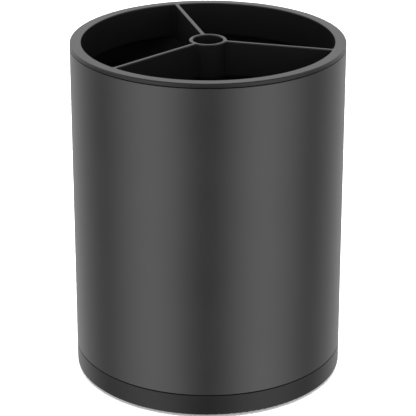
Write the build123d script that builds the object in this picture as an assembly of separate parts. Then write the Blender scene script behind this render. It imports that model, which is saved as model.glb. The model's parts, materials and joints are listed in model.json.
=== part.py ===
"""Rotating three-compartment desk organizer, about 80 mm across and 102 mm tall.

A metal cup stands on a low black base and turns on it without limit. A ring of caged balls runs
between a race on the base and a race under the cup, and one shoulder screw, put in from below,
keeps the two together. A moulded rim with three dividers and a hub ring is pushed into the cup's
mouth. The origin is the middle of the surface that the organizer stands on, with +Z up.
"""

from build123d import *
import os

# ---- Overall, in millimetres ----
overall_height = 102.0
body_diameter = 80.0

# ---- Base ----
base_ring_height = 6.3  # the black ring that shows under the cup
base_floor_thickness = 2.4
base_bottom_round = 0.6
base_top_round = 0.2
foot_thickness = 1.2
foot_proud = 0.7  # how far the foot stands below the base's edge
foot_margin = 4.0  # from the body's outside to the foot's edge
foot_side_gap = 0.1
foot_edge_round = 0.15
upstand_wall = 1.2  # the inner lip that closes the turning gap from view

# ---- Cup ----
sleeve_wall = 1.0
sleeve_edge_chamfer = 0.05
cup_floor_thickness = 2.0
cup_wall_thickness = 1.5
cup_wall_height = 4.0
cup_floor_round = 1.0
cup_boss_radius = 6.0
cup_boss_height = 1.4
cup_boss_round = 0.5
race_pad_height = 0.8
race_pad_margin = 1.0
rib_count = 6
rib_thickness = 1.2
rib_height = 1.2

# ---- Rim and dividers, one moulding ----
lip_height = 1.12  # the black edge above the cup's metal
shadow_line_height = 0.3
lip_seat_width = 0.2  # how far the rim rests on the metal's edge, inside the shadow line
rim_width = 3.3  # across the rim's flat top
grid_depth = 10.0
divider_count = 3
divider_thickness = 1.2
first_divider_angle = 105.0
hub_radius = 5.5
hub_wall = 1.1
pocket_corner_round = 0.6
grid_top_round = 0.3
rim_edge_round = 0.45
skirt_lead_in = 0.6

# ---- Ball bearing ----
ball_diameter = 3.0
ball_count = 12
bearing_margin = 16.0  # from the body's outside to the circle the balls run on
groove_depth = 0.5
groove_extra_radius = 0.1
race_thickness = 1.0
race_narrow_side = 3.0  # from the ball circle to the race's edge without screws
race_screw_side = 8.2  # from the ball circle to the race's edge with screws
race_screw_offset = 5.5
cage_thickness = 1.0
cage_half_width = 2.6

# ---- Fasteners and pivot ----
race_screw_count = 3
screw_radius = 1.0
screw_bite = 2.0
screw_head_radius = 1.75
screw_head_height = 1.0
screw_head_round = 0.35
drive_slot_width = 0.45
drive_slot_length = 2.0
drive_slot_depth = 0.5
shoulder_radius = 2.0
pivot_head_radius = 4.0
pivot_head_height = 1.2
pivot_head_round = 0.2
pivot_thread_radius = 1.5
pivot_thread_length = 3.0
socket_across_flats = 2.5
socket_depth = 0.8
washer_radius = 4.7
washer_thickness = 0.4
bushing_wall = 1.0
bushing_flange_radius = 4.6
bushing_flange_thickness = 0.6
pivot_boss_radius = 5.6
pivot_boss_height = 2.6
insert_wall = 0.8
insert_length = 3.2
insert_waist_depth = 0.2
insert_band_length = 1.1

# ---- Clearances ----
turning_gap = 0.3  # between the base ring and the cup's metal
upstand_side_gap = 0.4
labyrinth_gap = 0.45
ball_gap = 0.03
pocket_gap = 0.05
screw_hole_gap = 0.2
tight_gap = 0.02  # around a part that is pressed, glued or screwed into plastic
skirt_gap = 0.05
washer_bore_gap = 0.1
washer_axial_gap = 0.05
screw_pocket_gap = 0.5
head_to_foot_gap = 0.15
shaft_running_gap = 0.04
bushing_axial_gap = 0.3

# ---- Heights worked out from the sizes above ----
body_radius = body_diameter / 2
ball_radius = ball_diameter / 2
base_bottom = foot_proud
base_floor_bottom = foot_thickness
base_floor_top = base_floor_bottom + base_floor_thickness
base_top = base_bottom + base_ring_height
lower_race_top = base_floor_top + race_thickness
ball_height = lower_race_top - groove_depth + ball_gap + ball_radius
upper_race_bottom = ball_height + ball_radius + ball_gap - groove_depth
upper_race_top = upper_race_bottom + race_thickness
cup_floor_bottom = upper_race_top + race_pad_height
cup_floor_top = cup_floor_bottom + cup_floor_thickness
sleeve_bottom = base_top + turning_gap
sleeve_top = overall_height - lip_height - shadow_line_height
grid_bottom = overall_height - grid_depth
pivot_head_bottom = base_floor_bottom + head_to_foot_gap
washer_bottom = pivot_head_bottom + pivot_head_height
screw_pocket_top = washer_bottom + washer_thickness + washer_axial_gap
pivot_boss_top = base_floor_top + pivot_boss_height
cup_boss_bottom = pivot_boss_top + bushing_flange_thickness + bushing_axial_gap

# ---- Radii worked out from the sizes above ----
sleeve_inner_radius = body_radius - sleeve_wall
upstand_radius = sleeve_inner_radius - upstand_side_gap
foot_radius = body_radius - foot_margin
ball_circle_radius = body_radius - bearing_margin
lower_screw_circle = ball_circle_radius - race_screw_offset
upper_screw_circle = ball_circle_radius + race_screw_offset
rim_inner_radius = body_radius - rim_width
bushing_bore_radius = shoulder_radius + shaft_running_gap
bushing_radius = bushing_bore_radius + bushing_wall
insert_radius = pivot_thread_radius + tight_gap + insert_wall


def disc(radius, low, high):
    """Solid disc about the turning axis between two heights."""
    return Pos(0, 0, low) * Cylinder(radius, high - low, align=(Align.CENTER, Align.CENTER, Align.MIN))


def ring(outer, inner, low, high):
    """Ring about the turning axis between two heights."""
    return disc(outer, low, high) - disc(inner, low, high)


def circles(part, radius, height):
    """The part's circular edges of one radius at one height."""
    found = part.edges().filter_by(GeomType.CIRCLE)
    return found.filter_by(
        lambda edge: abs(edge.radius - radius) < 1e-3 and abs(edge.arc_center.Z - height) < 1e-3
    )


def around(count, radius):
    """Evenly spaced places on a circle about the turning axis."""
    return [Rot(0, 0, 360 * step / count) * Pos(radius, 0, 0) for step in range(count)]


def make_foot_pad():
    """Anti-slip disc glued into the underside of the base."""
    pad = disc(foot_radius, 0, foot_thickness)
    return chamfer(circles(pad, foot_radius, 0), foot_edge_round)


def make_base_housing():
    """Shallow dish with a floor, an outer wall, an inner lip and the pivot's boss."""
    housing = disc(body_radius, base_bottom, base_top)
    housing = fillet(circles(housing, body_radius, base_bottom), base_bottom_round)
    housing = fillet(circles(housing, body_radius, base_top), base_top_round)
    housing += disc(upstand_radius, base_floor_top, cup_floor_bottom - labyrinth_gap)
    housing -= disc(upstand_radius - upstand_wall, base_floor_top, cup_floor_bottom)
    housing -= disc(foot_radius + foot_side_gap, base_bottom, base_floor_bottom)
    housing += disc(pivot_boss_radius, base_floor_top, pivot_boss_top)
    housing -= disc(washer_radius + screw_pocket_gap, base_floor_bottom, screw_pocket_top)
    housing -= disc(bushing_radius + tight_gap, screw_pocket_top, pivot_boss_top)
    hole = disc(screw_radius + tight_gap, base_floor_top - screw_bite, base_floor_top)
    for place in around(race_screw_count, lower_screw_circle):
        housing -= place * hole
    return housing


def make_pivot_bushing():
    """Flanged plain bush pressed into the base's boss."""
    bush = disc(bushing_radius, screw_pocket_top, pivot_boss_top)
    bush += disc(bushing_flange_radius, pivot_boss_top, pivot_boss_top + bushing_flange_thickness)
    return bush - disc(bushing_bore_radius, screw_pocket_top, cup_boss_bottom)


def make_race(inner, outer, low, groove_height, screw_circle):
    """Flat steel race with a ball groove in one face and clearance holes for its screws."""
    high = low + race_thickness
    race = ring(outer, inner, low, high)
    race -= Pos(0, 0, groove_height) * Torus(ball_circle_radius, ball_radius + groove_extra_radius)
    hole = disc(screw_radius + screw_hole_gap, low, high)
    for place in around(race_screw_count, screw_circle):
        race -= place * hole
    return race


def make_lower_race():
    """Race on the base, with its screws inside the ball circle."""
    groove_height = ball_height + groove_extra_radius - ball_gap
    inner = ball_circle_radius - race_screw_side
    outer = ball_circle_radius + race_narrow_side
    return make_race(inner, outer, base_floor_top, groove_height, lower_screw_circle)


def make_upper_race():
    """Race under the cup, with its screws outside the ball circle."""
    groove_height = ball_height - groove_extra_radius + ball_gap
    inner = ball_circle_radius - race_narrow_side
    outer = ball_circle_radius + race_screw_side
    return make_race(inner, outer, upper_race_bottom, groove_height, upper_screw_circle)


def make_race_screw():
    """Pan-head screw with a cross slot; its head rests on z = 0 and its shank points down."""
    head = disc(screw_head_radius, 0, screw_head_height)
    head = fillet(circles(head, screw_head_radius, screw_head_height), screw_head_round)
    slot = Box(drive_slot_length, drive_slot_width, 2 * drive_slot_depth)
    for turn in (0, 90):
        head -= Pos(0, 0, screw_head_height) * Rot(0, 0, turn) * slot
    return head + disc(screw_radius, -race_thickness - screw_bite, 0)


def make_race_screws(height, circle, flip):
    """The screws of one race, one solid each."""
    screw = Rot(flip, 0, 0) * make_race_screw()
    places = around(race_screw_count, circle)
    return Compound(children=[place * Pos(0, 0, height) * screw for place in places])


def make_ball_cage():
    """Flat plastic ring with a pocket for each ball."""
    low = ball_height - cage_thickness / 2
    high = ball_height + cage_thickness / 2
    cage = ring(ball_circle_radius + cage_half_width, ball_circle_radius - cage_half_width, low, high)
    pocket = disc(ball_radius + pocket_gap, low, high)
    for place in around(ball_count, ball_circle_radius):
        cage -= place * pocket
    return cage


def make_cup_floor():
    """Floor of the cup, with a wall that is pressed into the sleeve and the pads underneath."""
    wall_top = cup_floor_top + cup_wall_height
    inside = disc(sleeve_inner_radius - cup_wall_thickness, cup_floor_top, wall_top)
    inside = fillet(circles(inside, sleeve_inner_radius - cup_wall_thickness, cup_floor_top), cup_floor_round)
    floor = disc(sleeve_inner_radius, cup_floor_bottom, wall_top) - inside
    boss = disc(cup_boss_radius, cup_floor_top, cup_floor_top + cup_boss_height)
    floor += fillet(circles(boss, cup_boss_radius, cup_floor_top + cup_boss_height), cup_boss_round)
    pad_outer = ball_circle_radius + race_screw_side + race_pad_margin
    pad_inner = ball_circle_radius - race_narrow_side - race_pad_margin
    floor += ring(pad_outer, pad_inner, upper_race_top, cup_floor_bottom)
    floor += disc(cup_boss_radius, cup_boss_bottom, cup_floor_bottom)
    floor += make_ribs(pad_inner)
    floor -= disc(insert_radius + tight_gap, cup_boss_bottom, cup_boss_bottom + insert_length)
    hole = disc(screw_radius + tight_gap, upper_race_top, upper_race_top + screw_bite)
    for place in around(race_screw_count, upper_screw_circle):
        floor -= place * hole
    return floor


def make_ribs(reach):
    """Ribs under the cup's floor, from the pivot's boss to the pad of the race."""
    start = (cup_boss_radius + insert_radius) / 2
    rib = Pos((start + reach) / 2, 0, cup_floor_bottom - rib_height / 2) * Box(
        reach - start, rib_thickness, rib_height
    )
    ribs = Part()
    for step in range(rib_count):
        ribs += Rot(0, 0, 360 * step / rib_count) * rib
    return ribs - disc(insert_radius + tight_gap, cup_boss_bottom, cup_floor_bottom)


def make_sleeve():
    """Metal tube that makes the cup's wall."""
    tube = ring(body_radius, sleeve_inner_radius, sleeve_bottom, sleeve_top)
    edges = circles(tube, body_radius, sleeve_bottom) + circles(tube, body_radius, sleeve_top)
    edges += circles(tube, sleeve_inner_radius, sleeve_bottom)
    return chamfer(edges, sleeve_edge_chamfer)


def pocket_outline():
    """The three compartments as seen from above, with rounded corners."""
    outline = Circle(rim_inner_radius) - Circle(hub_radius)
    for step in range(divider_count):
        angle = first_divider_angle + 360 * step / divider_count
        strip = Pos(body_radius / 2, 0) * Rectangle(body_radius, divider_thickness)
        outline -= Rot(0, 0, angle) * strip
    return fillet(outline.vertices(), pocket_corner_round)


def make_divider_insert():
    """Rim, skirt, three dividers and hub ring in one moulding, pushed into the sleeve's mouth."""
    skirt_radius = sleeve_inner_radius - skirt_gap
    body = disc(skirt_radius, grid_bottom, sleeve_top)
    body = chamfer(circles(body, skirt_radius, grid_bottom), skirt_lead_in)
    body += disc(sleeve_inner_radius + lip_seat_width, sleeve_top, sleeve_top + shadow_line_height)
    body += disc(body_radius, sleeve_top + shadow_line_height, overall_height)
    body = fillet(circles(body, body_radius, overall_height), rim_edge_round)
    body -= extrude(Pos(0, 0, grid_bottom) * pocket_outline(), grid_depth)
    body -= disc(hub_radius - hub_wall, grid_bottom, overall_height)
    top_edges = body.faces().sort_by(Axis.Z)[-1].edges()
    inner_edges = top_edges.filter_by(
        lambda edge: edge.geom_type != GeomType.CIRCLE or edge.radius < rim_inner_radius + rim_width / 2
    )
    return fillet(inner_edges, grid_top_round)


def make_pivot_screw():
    """Shoulder screw with a hexagon socket, put in from below and turning with the cup."""
    screw = disc(pivot_head_radius, pivot_head_bottom, washer_bottom)
    rims = circles(screw, pivot_head_radius, pivot_head_bottom)
    screw = fillet(rims, pivot_head_round)
    screw += disc(shoulder_radius, washer_bottom, cup_boss_bottom)
    screw += disc(pivot_thread_radius, cup_boss_bottom, cup_boss_bottom + pivot_thread_length)
    hexagon = RegularPolygon(socket_across_flats / 2, 6, major_radius=False)
    return screw - extrude(Pos(0, 0, pivot_head_bottom) * hexagon, socket_depth)


def make_pivot_washer():
    """Thin steel washer between the pivot screw's head and the base."""
    bore = shoulder_radius + washer_bore_gap
    return ring(washer_radius, bore, washer_bottom, washer_bottom + washer_thickness)


def make_pivot_insert():
    """Brass threaded insert in the cup floor's boss, with a waist that the plastic grips."""
    top = cup_boss_bottom + insert_length
    insert = ring(insert_radius, pivot_thread_radius + tight_gap, cup_boss_bottom, top)
    waist = ring(
        insert_radius,
        insert_radius - insert_waist_depth,
        cup_boss_bottom + insert_band_length,
        top - insert_band_length,
    )
    return insert - waist


def make_nodes():
    """Every piece by its name."""
    nodes = {
        "foot_pad": make_foot_pad(),
        "base_housing": make_base_housing(),
        "pivot_bushing": make_pivot_bushing(),
        "lower_race": make_lower_race(),
        "lower_race_screws": make_race_screws(lower_race_top, lower_screw_circle, 0),
        "ball_cage": make_ball_cage(),
        "upper_race": make_upper_race(),
        "upper_race_screws": make_race_screws(upper_race_bottom, upper_screw_circle, 180),
        "pivot_screw": make_pivot_screw(),
        "pivot_washer": make_pivot_washer(),
        "pivot_insert": make_pivot_insert(),
        "cup_floor": make_cup_floor(),
        "sleeve": make_sleeve(),
        "divider_insert": make_divider_insert(),
    }
    for number, place in enumerate(around(ball_count, ball_circle_radius), start=1):
        nodes[f"ball_{number:02d}"] = place * Pos(0, 0, ball_height) * Sphere(ball_radius)
    return nodes


os.makedirs("parts", exist_ok=True)
for name, solid in make_nodes().items():
    export_step(solid, f"parts/{name}.step")
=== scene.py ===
"""Looks for the rotating desk organizer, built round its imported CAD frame. Metres throughout."""

import json
import math

import bmesh
import bpy
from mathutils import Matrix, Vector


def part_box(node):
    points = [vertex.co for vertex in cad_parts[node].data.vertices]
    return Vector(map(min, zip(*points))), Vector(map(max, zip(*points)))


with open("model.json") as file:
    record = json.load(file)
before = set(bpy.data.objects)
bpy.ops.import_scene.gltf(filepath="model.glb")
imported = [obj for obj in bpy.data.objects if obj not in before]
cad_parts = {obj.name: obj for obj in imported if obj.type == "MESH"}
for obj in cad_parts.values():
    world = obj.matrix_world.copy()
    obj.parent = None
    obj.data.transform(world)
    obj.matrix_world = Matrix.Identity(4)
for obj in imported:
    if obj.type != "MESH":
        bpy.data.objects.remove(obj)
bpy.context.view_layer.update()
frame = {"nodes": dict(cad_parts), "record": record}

# Camera: in front of the object, looking down at it
CAMERA_DISTANCE = 0.5412
CAMERA_ABOVE_RIM = 0.1712
CAMERA_PITCH = math.radians(22.48)
CAMERA_LENS = 169.4
SENSOR_WIDTH = 36.0
CLIP_START = 0.01

# Studio
FLOOR_HALF_WIDTH = 1.5
FLOOR_GLOW = 0.22
BACKDROP_RADIUS = 4.0
OVERHEAD_SIZE = 1.6
OVERHEAD_HEIGHT = 1.8
OVERHEAD_POWER = 60.0

# Brightness round the horizon, by angle from the camera's side to the back, alike on both sides
WALLS = [
    (0, 0.18),
    (12, 0.4),
    (25, 1.0),
    (48, 1.45),
    (75, 0.93),
    (95, 0.3),
    (120, 0.7),
    (150, 0.87),
    (180, 0.52),
]
# How much of it is left at an angle above the horizon, and the light that the sky adds there
FADE = [(0, 1.0), (25, 0.6), (50, 0.1), (90, 0.1)]
SKY = [(0, 0.0), (12, 0.6), (24, 1.2), (45, 0.3), (90, 0.1)]

# Unevenness of every finish: size of the patches, and how far colour and gloss stray in them
PATCHES_PER_METRE = 55.0
COLOUR_STRAY = 0.07
GLOSS_STRAY = 0.06


def new_material(name):
    """An empty node material and its Principled shader."""
    material = bpy.data.materials.new(name)
    material.use_nodes = True
    return material, material.node_tree.nodes["Principled BSDF"]


def add_node(tree, kind, **settings):
    """A shader node with its properties and constant inputs set by name."""
    node = tree.nodes.new(kind)
    for key, value in settings.items():
        if hasattr(node, key):
            setattr(node, key, value)
        else:
            node.inputs[key].default_value = value
    return node


def noise(tree, scale, detail):
    """Noise fixed to the object's own coordinates; scale is in grains per metre."""
    place = add_node(tree, "ShaderNodeTexCoord")
    grain = add_node(tree, "ShaderNodeTexNoise", Scale=scale, Detail=detail)
    tree.links.new(place.outputs["Object"], grain.inputs["Vector"])
    return grain.outputs["Fac"]


def spread(tree, source, low, high):
    """Maps a 0 to 1 value to a range."""
    rescale = add_node(tree, "ShaderNodeMapRange")
    rescale.inputs["To Min"].default_value = low
    rescale.inputs["To Max"].default_value = high
    tree.links.new(source, rescale.inputs["Value"])
    return rescale.outputs["Result"]


def grained(name, colour, roughness, grain_scale, grain_depth, specular=0.5, metallic=0.0):
    """A finish with a fine surface grain and slightly uneven colour and gloss."""
    material, shader = new_material(name)
    tree = material.node_tree
    shader.inputs["Metallic"].default_value = metallic
    shader.inputs["Specular IOR Level"].default_value = specular
    patch = noise(tree, PATCHES_PER_METRE, 3.0)
    mix = add_node(tree, "ShaderNodeMix", data_type="RGBA")
    mix.inputs["A"].default_value = (*[c * (1 - COLOUR_STRAY) for c in colour], 1)
    mix.inputs["B"].default_value = (*[c * (1 + COLOUR_STRAY) for c in colour], 1)
    tree.links.new(patch, mix.inputs["Factor"])
    tree.links.new(mix.outputs["Result"], shader.inputs["Base Color"])
    gloss = spread(tree, patch, roughness * (1 - GLOSS_STRAY), roughness * (1 + GLOSS_STRAY))
    tree.links.new(gloss, shader.inputs["Roughness"])
    bump = add_node(tree, "ShaderNodeBump", Strength=1.0, Distance=grain_depth)
    tree.links.new(noise(tree, grain_scale, 2.0), bump.inputs["Height"])
    tree.links.new(bump.outputs["Normal"], shader.inputs["Normal"])
    return material


def black_plastic(name):
    """Satin black moulded plastic."""
    return grained(name, (0.0055, 0.0055, 0.0055), 0.34, 4500.0, 8e-6, specular=0.37)


def make_finishes():
    """A material for each of the record's material slots."""
    steel = grained("zinc_plated_steel", (0.55, 0.55, 0.56), 0.3, 3000.0, 2e-6, metallic=1.0)
    return {
        "gunmetal": grained(
            "gunmetal_anodised", (0.085, 0.085, 0.085), 0.36, 6000.0, 8e-6, metallic=1.0
        ),
        "black_plastic": black_plastic("black_moulded_plastic"),
        "rim_plastic": black_plastic("rim_moulded_plastic"),
        "foot_rubber": grained("foot_rubber", (0.02, 0.02, 0.02), 0.8, 1800.0, 1e-5),
        "natural_plastic": grained("natural_acetal", (0.72, 0.71, 0.66), 0.4, 1500.0, 3e-6),
        "race_steel": steel,
        "screw_steel": steel,
        "ball_steel": grained("polished_steel", (0.7, 0.7, 0.71), 0.08, 3000.0, 2e-7, metallic=1.0),
        "brass": grained("machined_brass", (0.72, 0.52, 0.24), 0.25, 3000.0, 2e-6, metallic=1.0),
    }


def give(node, material):
    """Gives a CAD node its finish."""
    mesh = frame["nodes"][node].data
    mesh.materials.clear()
    mesh.materials.append(material)


def add_object(name, data):
    """Puts a mesh, light or camera in the scene under its name."""
    thing = bpy.data.objects.new(name, data)
    bpy.context.scene.collection.objects.link(thing)
    return thing


def make_floor():
    """Plain pale floor, glowing a little so that the shadow on it stays faint."""
    mesh = bpy.data.meshes.new("floor")
    shape = bmesh.new()
    bmesh.ops.create_grid(shape, x_segments=8, y_segments=8, size=FLOOR_HALF_WIDTH)
    shape.to_mesh(mesh)
    shape.free()
    floor = add_object("floor", mesh)
    material, shader = new_material("pale_floor")
    shader.inputs["Base Color"].default_value = (0.97, 0.97, 0.97, 1)
    shader.inputs["Roughness"].default_value = 0.9
    shader.inputs["Specular IOR Level"].default_value = 0.1
    shader.inputs["Emission Color"].default_value = (1, 1, 1, 1)
    shader.inputs["Emission Strength"].default_value = FLOOR_GLOW
    mesh.materials.append(material)
    floor.visible_glossy = False


def make_backdrop():
    """Plain white surroundings behind the floor, which only the camera sees."""
    mesh = bpy.data.meshes.new("backdrop")
    shape = bmesh.new()
    bmesh.ops.create_icosphere(shape, subdivisions=5, radius=BACKDROP_RADIUS)
    shape.to_mesh(mesh)
    shape.free()
    backdrop = add_object("backdrop", mesh)
    material, shader = new_material("white_backdrop")
    shader.inputs["Base Color"].default_value = (0, 0, 0, 1)
    shader.inputs["Specular IOR Level"].default_value = 0.0
    shader.inputs["Emission Color"].default_value = (1, 1, 1, 1)
    shader.inputs["Emission Strength"].default_value = 1.0
    mesh.materials.append(material)
    backdrop.visible_diffuse = False
    backdrop.visible_glossy = False
    backdrop.visible_transmission = False
    backdrop.visible_shadow = False


def make_overhead_light():
    """Wide soft light above the object that keeps the floor white and leaves no reflection."""
    light = bpy.data.lights.new("overhead", "AREA")
    light.size = OVERHEAD_SIZE
    light.energy = OVERHEAD_POWER
    lamp = add_object("overhead", light)
    lamp.location = (0, 0, OVERHEAD_HEIGHT)
    lamp.visible_glossy = False


def math_node(tree, operation, first, second=None):
    """One math step on sockets or numbers."""
    step = add_node(tree, "ShaderNodeMath", operation=operation)
    for socket, value in zip(step.inputs, (first, second)):
        if isinstance(value, (int, float)):
            socket.default_value = value
        elif value is not None:
            tree.links.new(value, socket)
    return step.outputs["Value"]


def graded(tree, source, steps, span):
    """Brightness that follows the steps as the source goes from 0 to 1, which is span degrees."""
    peak = max(strength for angle, strength in steps)
    ramp = add_node(tree, "ShaderNodeValToRGB")
    stops = ramp.color_ramp.elements
    while len(stops) < len(steps):
        stops.new(0.5)
    for stop, (angle, strength) in zip(stops, steps):
        stop.position = angle / span
        stop.color = (*[strength / peak] * 3, 1)
    tree.links.new(source, ramp.inputs["Fac"])
    return math_node(tree, "MULTIPLY", ramp.outputs["Color"], peak)


def make_world():
    """Soft studio surroundings: walls that fade with height, and a band of light above them."""
    world = bpy.data.worlds.new("studio")
    world.use_nodes = True
    tree = world.node_tree
    place = add_node(tree, "ShaderNodeTexCoord")
    split = add_node(tree, "ShaderNodeSeparateXYZ")
    tree.links.new(place.outputs["Generated"], split.inputs["Vector"])
    front = math_node(tree, "MULTIPLY", split.outputs["Y"], -1.0)
    side = math_node(tree, "ABSOLUTE", split.outputs["X"])
    turn = math_node(tree, "DIVIDE", math_node(tree, "ARCTAN2", side, front), math.pi)
    height = math_node(tree, "DIVIDE", math_node(tree, "ARCSINE", split.outputs["Z"]), math.pi / 2)
    wall = graded(tree, turn, WALLS, 180)
    left_at_height = graded(tree, height, FADE, 90)
    faded = math_node(tree, "MULTIPLY", wall, left_at_height)
    total = math_node(tree, "ADD", faded, graded(tree, height, SKY, 90))
    background = tree.nodes["Background"]
    background.inputs["Color"].default_value = (1, 1, 1, 1)
    tree.links.new(total, background.inputs["Strength"])
    bpy.context.scene.world = world


def make_camera():
    """Camera at the viewing angle of the reference view."""
    camera = bpy.data.cameras.new("camera")
    camera.lens = CAMERA_LENS
    camera.sensor_width = SENSOR_WIDTH
    camera.clip_start = CLIP_START
    holder = add_object("camera", camera)
    rim_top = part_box("divider_insert")[1].z
    holder.location = (0, -CAMERA_DISTANCE, rim_top + CAMERA_ABOVE_RIM)
    holder.rotation_euler = (math.pi / 2 - CAMERA_PITCH, 0, 0)
    bpy.context.scene.camera = holder


finishes = make_finishes()
for row in frame["record"]["subparts"]:
    give(row["node"], finishes[row["material_slot"]])

make_floor()
make_backdrop()
make_world()
make_overhead_light()
make_camera()
bpy.context.scene.view_settings.view_transform = "Standard"
